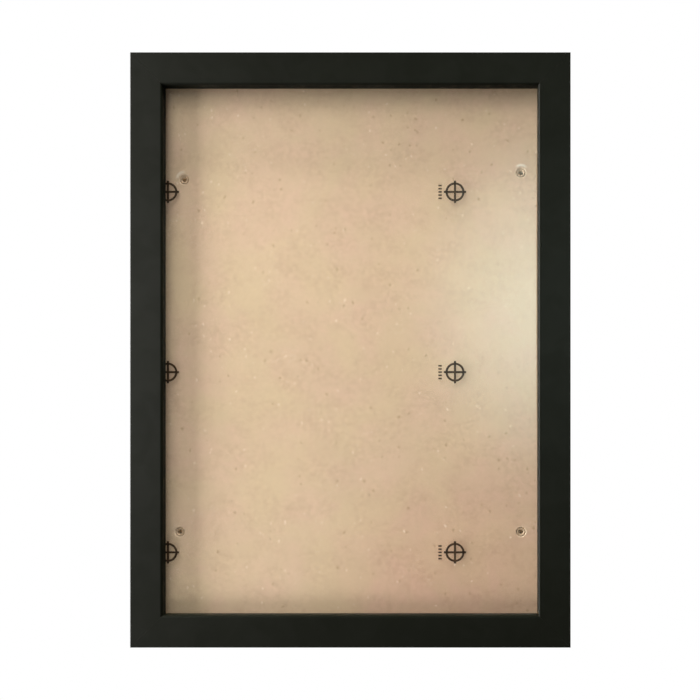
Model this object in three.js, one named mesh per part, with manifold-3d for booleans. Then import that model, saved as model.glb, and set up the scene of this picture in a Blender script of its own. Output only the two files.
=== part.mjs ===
// A black wooden picture frame for an A4 sheet: a mitred, rebated moulding with a clear sheet, its
// protective film, a hardboard back held by four riveted turn buttons, and two sawtooth hangers.
// Lengths are in millimetres. X runs to the right as the picture is seen, Z up, and Y away from the
// viewer to the wall. Y = 0 is the back face of the moulding, and the origin is the middle notch of the
// portrait hanger, where the wall nail carries the frame.
import * as THREE from "three";
import { mergeVertices } from "three/addons/utils/BufferGeometryUtils.js";
import Module from "manifold-3d";

const wasm = await Module();
wasm.setup();

// The sheets between which an A4 picture lies, and the play that they have in their rebate on each side
const SHEET_WIDTH = 213;
const SHEET_HEIGHT = 297;
const SHEET_PLAY = 1;

// The moulding's section
const MOULDING_WIDTH = 17.5;
const LIP_THICKNESS = 5;
const REBATE_WIDTH = 5.5;
const REBATE_DEPTH = 13;
const FACE_EDGE_RADIUS = 0.5;
const SIGHT_EDGE_RADIUS = 1.2;
const BACK_EDGE_RADIUS = 0.5;
const GLUE_LINE = 0.04;

// The sheets that lie in the rebate, from the front to the back
const FILM_THICKNESS = 0.1;
const GLAZING_THICKNESS = 1.5;
const BACKING_THICKNESS = 2.5;
const SHEET_GAP = 0.05;

// The turn buttons, the rivets that they turn on and the kerf that their tips enter
const RIVET_FROM_SIDE = 13.2;
const RIVET_FROM_TOP = 50.2;
const RIVET_FROM_BOTTOM = 49;
const TOP_LEFT_LOW = 3.8;
const TOP_LEFT_IN = 1;
const BOTTOM_LEFT_OUT = 1.4;
const RIVET_SHANK_RADIUS = 1.5;
const RIVET_BORE_RADIUS = 1.1;
const RIVET_BORE_DEPTH = 2.4;
const RIVET_HEAD_RADIUS = 3.1;
const RIVET_HEAD_HEIGHT = 1.1;
const CLINCH_RADIUS = 2.35;
const CLINCH_ROLL = 0.4;
const CLINCH_DEPTH = 1.2;
const CLINCH_SINK = 0.08;
const DIMPLE_RADIUS = 2.9;
const SHANK_FIT = 0.15;
const TURNING_FIT = 0.1;
const PIVOT_GAP = 0.1;
const BUTTON_THICKNESS = 0.9;
const BUTTON_EYE_RADIUS = 5.2;
const BUTTON_TIP_WIDTH = 7;
const BUTTON_TIP_RADIUS = 2;
const BUTTON_CRANK = 1;
const CRANK_START = 6;
const CRANK_LENGTH = 1.8;
const KERF_DEPTH = 4.5;
const KERF_BITE = 2.3;
const KERF_FIT = 0.3;

// The corner fasteners: bent strips that are driven into each mitre from the back
const V_NAILS_PER_CORNER = 2;
const V_NAIL_THICKNESS = 0.6;
const V_NAIL_LEG = 3.8;
const V_NAIL_HOOK = 0.8;
const V_NAIL_HALF_ANGLE = THREE.MathUtils.degToRad(50);
const V_NAIL_HEIGHT = 5;
const V_NAIL_SINK = 0.3;
const V_NAIL_FIT = 0.15;

// The sawtooth hangers and their nails
const HANGER_LENGTH = 42;
const HANGER_HEIGHT = 8.4;
const HANGER_THICKNESS = 0.8;
const HANGER_END_RADIUS = 2.2;
const HANGER_FLAT = 7.5;
const HANGER_RISE = 1.4;
const HANGER_RAMP = 2;
const HANGER_GAP = 0.05;
const TEETH = 9;
const TOOTH_PITCH = 2.6;
const TOOTH_DEPTH = 1.3;
const NAIL_FROM_END = 3.6;
const NAIL_SHANK_RADIUS = 0.7;
const NAIL_HEAD_RADIUS = 1.7;
const NAIL_HEAD_HEIGHT = 0.6;
const NAIL_LENGTH = 9;
const NAIL_POINT = 1.8;
const NAIL_FIT = 0.15;

const ARC_STEPS = 5;
const ROUND_STEPS = 24;
const CUT_THROUGH = 1;

// Sizes that follow from those above
const MOULDING_DEPTH = LIP_THICKNESS + REBATE_DEPTH;
const WALL_WIDTH = MOULDING_WIDTH - REBATE_WIDTH;
const OUTER_WIDTH = SHEET_WIDTH + 2 * (SHEET_PLAY + WALL_WIDTH);
const OUTER_HEIGHT = SHEET_HEIGHT + 2 * (SHEET_PLAY + WALL_WIDTH);
const HANGER_EDGE = (WALL_WIDTH - HANGER_HEIGHT) / 2;
const NOTCH_DEPTH = HANGER_EDGE + HANGER_HEIGHT - TOOTH_DEPTH;

// Where each sheet starts and ends in depth
const filmFront = -REBATE_DEPTH + SHEET_GAP;
const glazingFront = filmFront + FILM_THICKNESS + SHEET_GAP;
const backingFront = glazingFront + GLAZING_THICKNESS + SHEET_GAP;
const backingBack = backingFront + BACKING_THICKNESS;

// The turn button's flat eye lies on the backing, and its cranked tip lies in the middle of the kerf
const eyeFront = backingBack + PIVOT_GAP;
const eyeBack = eyeFront + BUTTON_THICKNESS;
const tipReach = RIVET_FROM_SIDE + SHEET_PLAY + KERF_BITE;
const kerfFront = eyeFront + BUTTON_CRANK - KERF_FIT;
const kerfBack = eyeBack + BUTTON_CRANK + KERF_FIT;

const blackLacquer = new THREE.MeshStandardMaterial({ color: 0x22221f, roughness: 0.42, metalness: 0 });
const clearAcrylic = new THREE.MeshStandardMaterial({
  color: 0xf2f6f4,
  roughness: 0.05,
  metalness: 0,
  transparent: true,
  opacity: 0.15,
});
const polyFilm = new THREE.MeshStandardMaterial({
  color: 0xf7f4ec,
  roughness: 0.25,
  metalness: 0,
  transparent: true,
  opacity: 0.12,
});
const hardboard = new THREE.MeshStandardMaterial({ color: 0xc9a67e, roughness: 0.75, metalness: 0 });
const zincSteel = new THREE.MeshStandardMaterial({ color: 0xb4b8ba, roughness: 0.35, metalness: 1 });
const blueSteel = new THREE.MeshStandardMaterial({ color: 0x6d7075, roughness: 0.45, metalness: 1 });
const brassedSteel = new THREE.MeshStandardMaterial({ color: 0xb9975b, roughness: 0.35, metalness: 1 });

// A closed geometry as a solid that can be cut and joined
function solidOf(geometry) {
  const bare = geometry.clone();
  bare.deleteAttribute("normal");
  bare.deleteAttribute("uv");
  const merged = mergeVertices(bare, 1e-4);
  return new wasm.Manifold(
    new wasm.Mesh({
      numProp: 3,
      vertProperties: merged.getAttribute("position").array,
      triVerts: new Uint32Array(merged.index.array),
    }),
  );
}

function geometryOf(solid) {
  const mesh = solid.getMesh();
  const geometry = new THREE.BufferGeometry();
  geometry.setAttribute("position", new THREE.BufferAttribute(mesh.vertProperties, 3));
  geometry.setIndex(new THREE.BufferAttribute(mesh.triVerts, 1));
  geometry.computeVertexNormals();
  return geometry;
}

function piece(name, geometry, material) {
  const mesh = new THREE.Mesh(geometry, material);
  mesh.name = name;
  return mesh;
}

// Takes the shapes of other meshes out of this one, wherever each of them stands
function cut(mesh, cutters) {
  mesh.updateWorldMatrix(true, false);
  const toMesh = mesh.matrixWorld.clone().invert();
  let solid = solidOf(mesh.geometry);
  for (const cutter of cutters) {
    cutter.updateWorldMatrix(true, false);
    const place = toMesh.clone().multiply(cutter.matrixWorld);
    solid = solid.subtract(solidOf(cutter.geometry.clone().applyMatrix4(place)));
  }
  mesh.geometry = geometryOf(solid);
}

// An outline drawn in X and Z, filled from depth front to depth back
function plate(shape, front, back) {
  const geometry = new THREE.ExtrudeGeometry(shape, {
    depth: back - front,
    bevelEnabled: false,
    curveSegments: ARC_STEPS,
  });
  geometry.rotateX(Math.PI / 2);
  return geometry.translate(0, back, 0);
}

// An outline drawn in X and Y, filled over a width along Z that is centred on the outline
function strip(shape, width) {
  const geometry = new THREE.ExtrudeGeometry(shape, {
    depth: width,
    bevelEnabled: false,
    curveSegments: ARC_STEPS,
  });
  return geometry.translate(0, 0, -width / 2);
}

// A sheet of metal that is bent to one outline seen from the side and stamped to another seen from behind
function bentPlate(sideShape, planShape, width, front, back) {
  const bent = solidOf(strip(sideShape, width));
  const stamped = solidOf(plate(planShape, front, back));
  return geometryOf(bent.intersect(stamped));
}

// A section of radius and depth, turned about a line along Y
function turned(path) {
  return new THREE.LatheGeometry(path.getPoints(ARC_STEPS), ROUND_STEPS);
}

// The line of a bent strip as an outline of even thickness, with its bends mitred
function stripShape(line, thickness) {
  const normals = line.slice(1).map((end, i) => {
    const along = end.clone().sub(line[i]).normalize();
    return new THREE.Vector2(-along.y, along.x);
  });
  const side = (sign) =>
    line.map((point, i) => {
      const before = normals[Math.max(i - 1, 0)];
      const after = normals[Math.min(i, normals.length - 1)];
      const out = before.clone().add(after).normalize();
      return point.clone().addScaledVector(out, (sign * thickness) / 2 / out.dot(before));
    });
  return new THREE.Shape([...side(1), ...side(-1).reverse()]);
}

// The moulding's section: X from its outer side inwards, Y in depth. The lip stands in front of the
// rebate, and the kerf is sawn into the rebate's wall along its whole length.
function mouldingSection() {
  const face = -MOULDING_DEPTH;
  const section = new THREE.Shape();
  section.moveTo(WALL_WIDTH, 0);
  section.lineTo(BACK_EDGE_RADIUS, 0);
  section.absarc(BACK_EDGE_RADIUS, -BACK_EDGE_RADIUS, BACK_EDGE_RADIUS, Math.PI / 2, Math.PI, false);
  section.lineTo(0, face + FACE_EDGE_RADIUS);
  section.absarc(FACE_EDGE_RADIUS, face + FACE_EDGE_RADIUS, FACE_EDGE_RADIUS, Math.PI, 1.5 * Math.PI, false);
  section.lineTo(MOULDING_WIDTH - SIGHT_EDGE_RADIUS, face);
  section.absarc(
    MOULDING_WIDTH - SIGHT_EDGE_RADIUS,
    face + SIGHT_EDGE_RADIUS,
    SIGHT_EDGE_RADIUS,
    1.5 * Math.PI,
    2 * Math.PI,
    false,
  );
  section.lineTo(MOULDING_WIDTH, -REBATE_DEPTH);
  section.lineTo(WALL_WIDTH, -REBATE_DEPTH);
  section.lineTo(WALL_WIDTH, kerfFront);
  section.lineTo(WALL_WIDTH - KERF_DEPTH, kerfFront);
  section.lineTo(WALL_WIDTH - KERF_DEPTH, kerfBack);
  section.lineTo(WALL_WIDTH, kerfBack);
  section.closePath();
  return section;
}

// One length of moulding with both ends mitred. Its length runs along X, and Z runs inwards from the
// outer side.
function mitredRail(length) {
  const geometry = new THREE.ExtrudeGeometry(mouldingSection(), {
    depth: length,
    bevelEnabled: false,
    curveSegments: ARC_STEPS,
  });
  const place = geometry.getAttribute("position");
  const halfGlue = GLUE_LINE / 2 / Math.SQRT1_2;
  for (let i = 0; i < place.count; i += 1) {
    const mitre = place.getX(i) + halfGlue;
    place.setZ(i, place.getZ(i) > length / 2 ? length - mitre : mitre);
  }
  geometry.translate(0, 0, -length / 2);
  return geometry.rotateY(-Math.PI / 2);
}

// A V nail seen from behind: two legs that open along Z from a bend at the origin, each ending in a hook
function vNail(fit) {
  const leg = new THREE.Vector2(Math.sin(V_NAIL_HALF_ANGLE), Math.cos(V_NAIL_HALF_ANGLE));
  const hook = new THREE.Vector2(leg.y, -leg.x);
  const end = leg.clone().multiplyScalar(V_NAIL_LEG);
  const tip = end.clone().addScaledVector(hook, V_NAIL_HOOK + fit);
  const mirrored = (point) => new THREE.Vector2(-point.x, point.y);
  const line = [tip, end, new THREE.Vector2(), mirrored(end), mirrored(tip)];
  const back = fit ? CUT_THROUGH : -V_NAIL_SINK;
  return plate(stripShape(line, V_NAIL_THICKNESS + 2 * fit), -V_NAIL_SINK - V_NAIL_HEIGHT - fit, back);
}

function sheetShape() {
  const shape = new THREE.Shape();
  shape.moveTo(-SHEET_WIDTH / 2, -SHEET_HEIGHT / 2);
  shape.lineTo(SHEET_WIDTH / 2, -SHEET_HEIGHT / 2);
  shape.lineTo(SHEET_WIDTH / 2, SHEET_HEIGHT / 2);
  shape.lineTo(-SHEET_WIDTH / 2, SHEET_HEIGHT / 2);
  shape.closePath();
  return shape;
}

// The hole that a rivet leaves in the backing: a straight bore that opens into a dimple at the front,
// where the clinch sinks into the board
function rivetHole() {
  const section = new THREE.Path();
  section.moveTo(0, backingFront - CUT_THROUGH);
  section.lineTo(DIMPLE_RADIUS, backingFront - CUT_THROUGH);
  section.lineTo(DIMPLE_RADIUS, backingFront);
  section.lineTo(CLINCH_RADIUS + SHANK_FIT, backingFront + CLINCH_SINK + CLINCH_ROLL);
  section.lineTo(RIVET_SHANK_RADIUS + SHANK_FIT, backingFront + CLINCH_DEPTH + SHANK_FIT);
  section.lineTo(RIVET_SHANK_RADIUS + SHANK_FIT, backingBack + CUT_THROUGH);
  section.lineTo(0, backingBack + CUT_THROUGH);
  return turned(section);
}

// A semi-tubular rivet: a domed head behind the button, and a tubular end rolled over in the backing's dimple
function rivet() {
  const headFront = eyeBack + PIVOT_GAP;
  const rollFront = backingFront + CLINCH_SINK;
  const crest = CLINCH_RADIUS - CLINCH_ROLL;
  const section = new THREE.Path();
  section.moveTo(0, rollFront + RIVET_BORE_DEPTH);
  section.lineTo(RIVET_BORE_RADIUS, rollFront + RIVET_BORE_DEPTH);
  section.lineTo(RIVET_BORE_RADIUS, rollFront + crest - RIVET_BORE_RADIUS);
  section.quadraticCurveTo(RIVET_BORE_RADIUS, rollFront, crest, rollFront);
  section.quadraticCurveTo(CLINCH_RADIUS, rollFront, CLINCH_RADIUS, rollFront + CLINCH_ROLL);
  section.lineTo(RIVET_SHANK_RADIUS, backingFront + CLINCH_DEPTH);
  section.lineTo(RIVET_SHANK_RADIUS, headFront);
  section.lineTo(RIVET_HEAD_RADIUS, headFront);
  section.lineTo(RIVET_HEAD_RADIUS, headFront + RIVET_HEAD_HEIGHT / 3);
  section.quadraticCurveTo(
    RIVET_HEAD_RADIUS * 0.75,
    headFront + RIVET_HEAD_HEIGHT,
    0,
    headFront + RIVET_HEAD_HEIGHT,
  );
  return turned(section);
}

// A turn button that points along X from its rivet at the origin
function turnButton() {
  const side = new THREE.Shape();
  const crankEnd = CRANK_START + CRANK_LENGTH;
  side.moveTo(-BUTTON_EYE_RADIUS, eyeFront);
  side.lineTo(CRANK_START, eyeFront);
  side.lineTo(crankEnd, eyeFront + BUTTON_CRANK);
  side.lineTo(tipReach, eyeFront + BUTTON_CRANK);
  side.lineTo(tipReach, eyeBack + BUTTON_CRANK);
  side.lineTo(crankEnd, eyeBack + BUTTON_CRANK);
  side.lineTo(CRANK_START, eyeBack);
  side.lineTo(-BUTTON_EYE_RADIUS, eyeBack);
  side.closePath();

  const plan = new THREE.Shape();
  const halfTip = BUTTON_TIP_WIDTH / 2;
  const cornerX = tipReach - BUTTON_TIP_RADIUS;
  const cornerZ = halfTip - BUTTON_TIP_RADIUS;
  plan.moveTo(crankEnd, -halfTip);
  plan.absarc(cornerX, -cornerZ, BUTTON_TIP_RADIUS, -Math.PI / 2, 0, false);
  plan.absarc(cornerX, cornerZ, BUTTON_TIP_RADIUS, 0, Math.PI / 2, false);
  plan.lineTo(crankEnd, halfTip);
  const eyeMeets = Math.PI / 3;
  for (let i = 0; i <= ROUND_STEPS / 2; i += 1) {
    const angle = eyeMeets + (i / (ROUND_STEPS / 2)) * 2 * (Math.PI - eyeMeets);
    plan.lineTo(BUTTON_EYE_RADIUS * Math.cos(angle), BUTTON_EYE_RADIUS * Math.sin(angle));
  }
  plan.closePath();

  const body = solidOf(
    bentPlate(side, plan, 2 * BUTTON_EYE_RADIUS + CUT_THROUGH, eyeFront, eyeBack + BUTTON_CRANK),
  );
  const hole = new THREE.CylinderGeometry(
    RIVET_SHANK_RADIUS + TURNING_FIT,
    RIVET_SHANK_RADIUS + TURNING_FIT,
    BUTTON_THICKNESS + 2 * CUT_THROUGH,
    ROUND_STEPS,
  );
  hole.translate(0, (eyeFront + eyeBack) / 2, 0);
  return geometryOf(body.subtract(solidOf(hole)));
}

// A sawtooth hanger on the back of a rail: its teeth point inwards, and its middle stands off the wood
// so that a nail's head fits behind them
function sawtoothHanger() {
  const halfLength = HANGER_LENGTH / 2;
  const rampStart = halfLength - HANGER_FLAT;
  const rampEnd = rampStart - HANGER_RAMP;
  const line = [
    new THREE.Vector2(-halfLength, 0),
    new THREE.Vector2(-rampStart, 0),
    new THREE.Vector2(-rampEnd, HANGER_RISE),
    new THREE.Vector2(rampEnd, HANGER_RISE),
    new THREE.Vector2(rampStart, 0),
    new THREE.Vector2(halfLength, 0),
  ];
  const middle = HANGER_GAP + HANGER_THICKNESS / 2;
  const side = stripShape(
    line.map((point) => point.setY(point.y + middle)),
    HANGER_THICKNESS,
  );

  const edge = HANGER_EDGE + HANGER_HEIGHT;
  const radius = HANGER_END_RADIUS;
  const cornerX = halfLength - radius;
  const plan = new THREE.Shape();
  plan.moveTo(-cornerX, HANGER_EDGE);
  plan.absarc(cornerX, HANGER_EDGE + radius, radius, -Math.PI / 2, 0, false);
  plan.absarc(cornerX, edge - radius, radius, 0, Math.PI / 2, false);
  for (let i = 0; i < TEETH; i += 1) {
    const notch = (TEETH / 2 - i - 0.5) * TOOTH_PITCH;
    plan.lineTo(notch + TOOTH_PITCH * 0.4, edge);
    plan.lineTo(notch, edge - TOOTH_DEPTH);
    plan.lineTo(notch - TOOTH_PITCH * 0.4, edge);
  }
  plan.absarc(-cornerX, edge - radius, radius, Math.PI / 2, Math.PI, false);
  plan.absarc(-cornerX, HANGER_EDGE + radius, radius, Math.PI, 1.5 * Math.PI, false);
  plan.closePath();
  const top = HANGER_GAP + HANGER_RISE + HANGER_THICKNESS;
  return bentPlate(side, plan, 2 * (edge + CUT_THROUGH), 0, top);
}

// A hanger nail or, with a fit, the blind hole that it is driven into
function hangerNail(fit) {
  const headFront = 2 * HANGER_GAP + HANGER_THICKNESS;
  const shank = NAIL_SHANK_RADIUS + fit;
  const section = new THREE.Path();
  section.moveTo(0, -NAIL_LENGTH - fit);
  section.lineTo(fit ? shank : NAIL_SHANK_RADIUS / 4, -NAIL_LENGTH - fit);
  section.lineTo(shank, -NAIL_LENGTH + NAIL_POINT);
  if (fit) {
    section.lineTo(shank, headFront + CUT_THROUGH);
    section.lineTo(0, headFront + CUT_THROUGH);
    return turned(section);
  }
  section.lineTo(shank, headFront);
  section.lineTo(NAIL_HEAD_RADIUS, headFront);
  section.quadraticCurveTo(
    NAIL_HEAD_RADIUS,
    headFront + NAIL_HEAD_HEIGHT,
    0,
    headFront + NAIL_HEAD_HEIGHT,
  );
  return turned(section);
}

const frame = new THREE.Group();
// The frame is laid out about its own middle, and the hanging point is then the origin
frame.position.z = NOTCH_DEPTH - OUTER_HEIGHT / 2;

// The four sides: how far each is turned about Y, how far it lies from the middle, and its outer length
const sides = {
  bottom_rail: { turn: 0, reach: OUTER_HEIGHT / 2, length: OUTER_WIDTH },
  right_stile: { turn: -Math.PI / 2, reach: OUTER_WIDTH / 2, length: OUTER_HEIGHT },
  top_rail: { turn: Math.PI, reach: OUTER_HEIGHT / 2, length: OUTER_WIDTH },
  left_stile: { turn: Math.PI / 2, reach: OUTER_WIDTH / 2, length: OUTER_HEIGHT },
};
const rails = {};
for (const [name, side] of Object.entries(sides)) {
  const group = new THREE.Group();
  group.rotation.y = side.turn;
  group.position.set(-side.reach * Math.sin(side.turn), 0, -side.reach * Math.cos(side.turn));
  rails[name] = piece(name, mitredRail(side.length), blackLacquer);
  group.add(rails[name]);
  frame.add(group);
}

// A hanger and its two nails on the back of a rail
function addHanger(hangerName, rail) {
  const group = rail.parent;
  group.add(piece(hangerName, sawtoothHanger(), brassedSteel));
  const nailX = HANGER_LENGTH / 2 - NAIL_FROM_END;
  const nailZ = HANGER_EDGE + HANGER_HEIGHT / 2;
  const cutters = [];
  for (const [end, sign] of Object.entries({ a: -1, b: 1 })) {
    const nail = piece(`${hangerName}_nail_${end}`, hangerNail(0), blueSteel);
    const hole = piece("hole", hangerNail(NAIL_FIT), blueSteel);
    for (const mesh of [nail, hole]) {
      mesh.position.set(sign * nailX, 0, nailZ);
      group.add(mesh);
    }
    cutters.push(hole);
  }
  cut(rail, cutters);
  const hanger = group.getObjectByName(hangerName);
  cut(hanger, cutters);
  group.remove(...cutters);
}
frame.updateMatrixWorld(true);
addHanger("portrait_hanger", rails.top_rail);
addHanger("landscape_hanger", rails.left_stile);

// The corners: which two sides meet there, and the way in along the mitre
const corners = {
  bottom_left: { x: -1, z: -1, meets: ["bottom_rail", "left_stile"] },
  bottom_right: { x: 1, z: -1, meets: ["bottom_rail", "right_stile"] },
  top_right: { x: 1, z: 1, meets: ["top_rail", "right_stile"] },
  top_left: { x: -1, z: 1, meets: ["top_rail", "left_stile"] },
};
const mitreLength = WALL_WIDTH / Math.SQRT1_2;
const vNailDepth = V_NAIL_LEG * Math.cos(V_NAIL_HALF_ANGLE);
for (const [name, corner] of Object.entries(corners)) {
  const group = new THREE.Group();
  group.position.set((corner.x * OUTER_WIDTH) / 2, 0, (corner.z * OUTER_HEIGHT) / 2);
  group.rotation.y = Math.atan2(-corner.x, -corner.z);
  frame.add(group);
  const step = mitreLength / V_NAILS_PER_CORNER;
  const slots = [];
  for (let i = 0; i < V_NAILS_PER_CORNER; i += 1) {
    const nail = piece(`v_nail_${name}_${i + 1}`, vNail(0), blueSteel);
    const slot = piece("slot", vNail(V_NAIL_FIT), blueSteel);
    for (const mesh of [nail, slot]) {
      mesh.position.z = (i + 0.5) * step - vNailDepth / 2;
      group.add(mesh);
    }
    slots.push(slot);
  }
  for (const rail of corner.meets) {
    cut(rails[rail], slots);
  }
  group.remove(...slots);
}

// The sheets in the rebate
const sheet = (name, front, thickness, material) =>
  piece(name, plate(sheetShape(), front, front + thickness), material);
const backing = sheet("backing_board", backingFront, BACKING_THICKNESS, hardboard);
frame.add(
  sheet("protective_film", filmFront, FILM_THICKNESS, polyFilm),
  sheet("glazing_sheet", glazingFront, GLAZING_THICKNESS, clearAcrylic),
  backing,
);

// The rivets go through the backing near its long sides. They are set by hand: the top left one sits
// low and a little inwards, and the bottom left one a little outwards.
const rivetX = SHEET_WIDTH / 2 - RIVET_FROM_SIDE;
const topZ = SHEET_HEIGHT / 2 - RIVET_FROM_TOP;
const bottomZ = RIVET_FROM_BOTTOM - SHEET_HEIGHT / 2;
const rivets = {
  top_left: [TOP_LEFT_IN - rivetX, topZ - TOP_LEFT_LOW],
  top_right: [rivetX, topZ],
  bottom_left: [-rivetX - BOTTOM_LEFT_OUT, bottomZ],
  bottom_right: [rivetX, bottomZ],
};
const rivetHoles = [];
for (const [name, [x, z]] of Object.entries(rivets)) {
  const button = piece(`turn_button_${name}`, turnButton(), zincSteel);
  button.rotation.y = x < 0 ? Math.PI : 0;
  const shank = piece(`rivet_${name}`, rivet(), zincSteel);
  const hole = piece("hole", rivetHole(), hardboard);
  for (const mesh of [button, shank, hole]) {
    mesh.position.set(x, 0, z);
    frame.add(mesh);
  }
  rivetHoles.push(hole);
}
cut(backing, rivetHoles);
frame.remove(...rivetHoles);

export default frame;
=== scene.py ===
# %% [markdown]
# # A black wooden picture frame
#
# The real frame is four lengths of lacquered moulding, mitred and nailed together. Behind its lip lie
# a thin printed film, a clear sheet and a hardboard back, held in by four turn buttons on rivets.
#
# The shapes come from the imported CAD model, in metres and already in place. This lesson gives each of
# them a finish, adds what is too thin for CAD, and sets up a camera and a small studio.

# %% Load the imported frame
import math

import bpy
from mathutils import Matrix, Vector


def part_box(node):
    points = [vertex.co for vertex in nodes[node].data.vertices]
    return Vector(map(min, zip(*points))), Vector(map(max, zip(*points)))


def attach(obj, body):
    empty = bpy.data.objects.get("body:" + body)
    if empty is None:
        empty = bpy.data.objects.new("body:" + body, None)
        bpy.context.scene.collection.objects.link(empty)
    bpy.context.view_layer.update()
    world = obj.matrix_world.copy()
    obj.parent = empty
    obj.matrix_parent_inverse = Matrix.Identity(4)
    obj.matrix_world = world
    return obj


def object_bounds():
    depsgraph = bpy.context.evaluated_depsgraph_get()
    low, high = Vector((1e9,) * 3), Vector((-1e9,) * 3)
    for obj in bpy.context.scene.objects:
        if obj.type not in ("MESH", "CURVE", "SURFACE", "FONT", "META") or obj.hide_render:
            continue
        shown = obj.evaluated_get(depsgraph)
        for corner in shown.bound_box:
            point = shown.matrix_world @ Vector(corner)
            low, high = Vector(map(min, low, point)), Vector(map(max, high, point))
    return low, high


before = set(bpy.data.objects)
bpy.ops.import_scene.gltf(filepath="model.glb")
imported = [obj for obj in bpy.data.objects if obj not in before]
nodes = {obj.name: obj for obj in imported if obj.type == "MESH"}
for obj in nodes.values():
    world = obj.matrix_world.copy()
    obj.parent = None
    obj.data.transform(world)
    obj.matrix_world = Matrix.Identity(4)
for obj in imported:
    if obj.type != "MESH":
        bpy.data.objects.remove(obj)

MM = 0.001
cad_low, cad_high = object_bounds()
face_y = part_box("left_stile")[0].y
half_width = (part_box("top_rail")[1].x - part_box("top_rail")[0].x) / 2
half_height = (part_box("left_stile")[1].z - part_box("left_stile")[0].z) / 2
middle = Vector((0, face_y, (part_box("left_stile")[0].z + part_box("left_stile")[1].z) / 2))
print("frame, mm:", round(2 * half_width / MM, 1), "wide,", round(2 * half_height / MM, 1), "high")

# %% [markdown]
# ## The camera
#
# The photograph was taken square on, from close by: the inner edges of the lip show on the left and at
# the top. A camera that is turned would make the sides lean, so it stays straight and is only moved
# right and down. A lens shift then brings the frame back to the middle of the picture, as a technical
# camera does. The lens follows from the distance and from how much the picture takes in.

# %% The camera
PICTURE_WIDTH = 379.4 * MM      # how much the picture takes in at the frame's face
CAMERA_DISTANCE = 380 * MM
CAMERA_RIGHT = 50 * MM
CAMERA_DOWN = 45 * MM
AIM = Vector((-0.15 * MM, 0, -0.05 * MM))  # the picture's middle, from the frame's
SENSOR_WIDTH = 36               # in mm, as Blender's lens is

camera = bpy.data.objects.new("camera", bpy.data.cameras.new("camera"))
bpy.context.scene.collection.objects.link(camera)
camera.location = middle + Vector((CAMERA_RIGHT, -CAMERA_DISTANCE, -CAMERA_DOWN))
camera.rotation_euler = (math.radians(90), 0, 0)
camera.data.sensor_width = SENSOR_WIDTH
camera.data.lens = SENSOR_WIDTH * CAMERA_DISTANCE / PICTURE_WIDTH
camera.data.shift_x = (AIM.x - CAMERA_RIGHT) / PICTURE_WIDTH
camera.data.shift_y = (AIM.z + CAMERA_DOWN) / PICTURE_WIDTH
camera.data.clip_start = 5 * MM
bpy.context.scene.camera = camera
bpy.context.scene.view_settings.view_transform = "Standard"
print("lens, mm:", round(camera.data.lens, 1))
print("shift:", round(camera.data.shift_x, 3), round(camera.data.shift_y, 3))

# %% [markdown]
# ## Helpers for node trees
#
# Materials, the world and Geometry Nodes are all trees of nodes. Four short helpers keep the trees
# readable: one adds a node and fills its inputs, one writes sums, one spreads a value between two ends,
# and one lays a colour over another. Colours are written as on a colour chart, from 0 to 255, and
# turned into the linear light values that Blender works in.

# %% Helpers for node trees
def new_node(tree, kind, inputs=None, **settings):
    """Adds a node, sets its options, and fills its inputs with plain values or other nodes' outputs."""
    made = tree.nodes.new(kind)
    for name, value in settings.items():
        setattr(made, name, value)
    for name, value in (inputs or {}).items():
        if isinstance(value, bpy.types.NodeSocket):
            tree.links.new(value, made.inputs[name])
        else:
            made.inputs[name].default_value = value
    return made


def maths(tree, operation, *values):
    """The output of a Math node that takes plain values or other nodes' outputs."""
    return new_node(tree, "ShaderNodeMath", dict(enumerate(values)), operation=operation).outputs[0]


def spread(tree, value, start, end, low=0.0, high=1.0):
    """Turns a value that runs from start to end into one that runs smoothly from low to high."""
    inputs = {"Value": value, "From Min": start, "From Max": end, "To Min": low, "To Max": high}
    made = new_node(tree, "ShaderNodeMapRange", inputs, interpolation_type="SMOOTHSTEP")
    return made.outputs["Result"]


def layered(tree, share, under, over, blend="MIX"):
    """One colour laid over another where share is 1."""
    inputs = {0: share, 6: under, 7: over}
    return new_node(tree, "ShaderNodeMix", inputs, data_type="RGBA", blend_type=blend).outputs[2]


def colour(red, green, blue):
    """A colour from 0 to 255 as the linear values that Blender works in."""
    linear = [
        c / 12.92 if c <= 0.04045 else ((c + 0.055) / 1.055) ** 2.4
        for c in (red / 255, green / 255, blue / 255)
    ]
    return (*linear, 1.0)


print("a chart grey of 128 is", round(colour(128, 128, 128)[0], 3), "of full light")

# %% [markdown]
# ## The studio
#
# The board gets its depth from the lip's shadow, so the lamps matter. In the photograph most of the
# light comes at a low angle, from the far left and from overhead. A softer share comes from the ceiling
# in front, and a little from below. Each lamp is a soft panel. Its strength is given as radiance, where
# 1 is the brightness of a white wall, and the lamp's power follows from the panel's size.
#
# Only the side light shows in mirror images, and it lies too low for the clear sheet to mirror it to the
# camera. What the sheet mirrors comes from the world below, where it is easier to shape.

# %% The lamps
POWER_PER_RADIANCE = math.pi  # watts per square metre of panel for a radiance of 1


def soft_panel(name, low, high, radiance, mirrored=True):
    """A rectangular lamp that faces the frame, between two corners given from the middle of the face."""
    low, high = Vector(low), Vector(high)
    size, centre = high - low, (low + high) / 2
    flat = [axis for axis in range(3) if size[axis] == 0][0]
    wide, tall = [axis for axis in range(3) if axis != flat]
    back = Vector([math.copysign(1, centre[axis]) if axis == flat else 0 for axis in range(3)])
    across = Vector([float(axis == wide) for axis in range(3)])
    lamp = bpy.data.lights.new(name, "AREA")
    lamp.shape = "RECTANGLE"
    lamp.size, lamp.size_y = size[wide], size[tall]
    lamp.energy = radiance * POWER_PER_RADIANCE * size[wide] * size[tall]
    made = bpy.data.objects.new(name, lamp)
    bpy.context.scene.collection.objects.link(made)
    made.location = middle + centre
    made.rotation_euler = Matrix((across, back.cross(across), back)).transposed().to_euler()
    made.visible_camera = False
    made.visible_glossy = mirrored
    made.visible_transmission = False
    print(name, "power, W:", round(lamp.energy, 2))
    return made


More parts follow.
